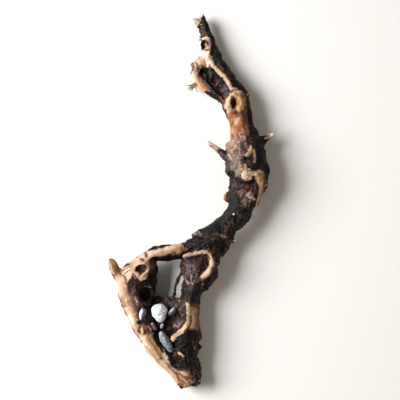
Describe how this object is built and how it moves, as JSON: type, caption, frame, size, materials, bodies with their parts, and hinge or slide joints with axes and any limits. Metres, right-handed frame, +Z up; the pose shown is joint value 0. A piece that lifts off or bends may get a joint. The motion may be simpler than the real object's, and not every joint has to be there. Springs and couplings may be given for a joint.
{
  "type": "dry root",
  "caption": "Gnarled dry tree root with a swollen shaft, a forked loop and small stones that it grew around, lying on its back.",
  "frame": {"origin": "on the surface that the root lies on, under the middle of its box", "axes": "+Y from the foot to the broken tip, +X towards the outer side of the shaft's bend, +Z up from the surface, through the side with the stones"},
  "size_m": [0.199, 0.4496, 0.0444],
  "materials": {
    "root": "matte",
    "white_stone": "matte",
    "vein_pebble": "satin",
    "band_pebble": "satin",
    "violet_pebble": "satin",
    "pale_chip": "matte",
    "long_pebble": "satin"
  },
  "bodies": {
    "root": {"root": "root", "white_stone": "white_stone", "vein_pebble": "vein_pebble", "band_pebble": "band_pebble", "violet_pebble": "violet_pebble", "pale_chip": "pale_chip", "long_pebble": "long_pebble"}
  },
  "joints": []
}
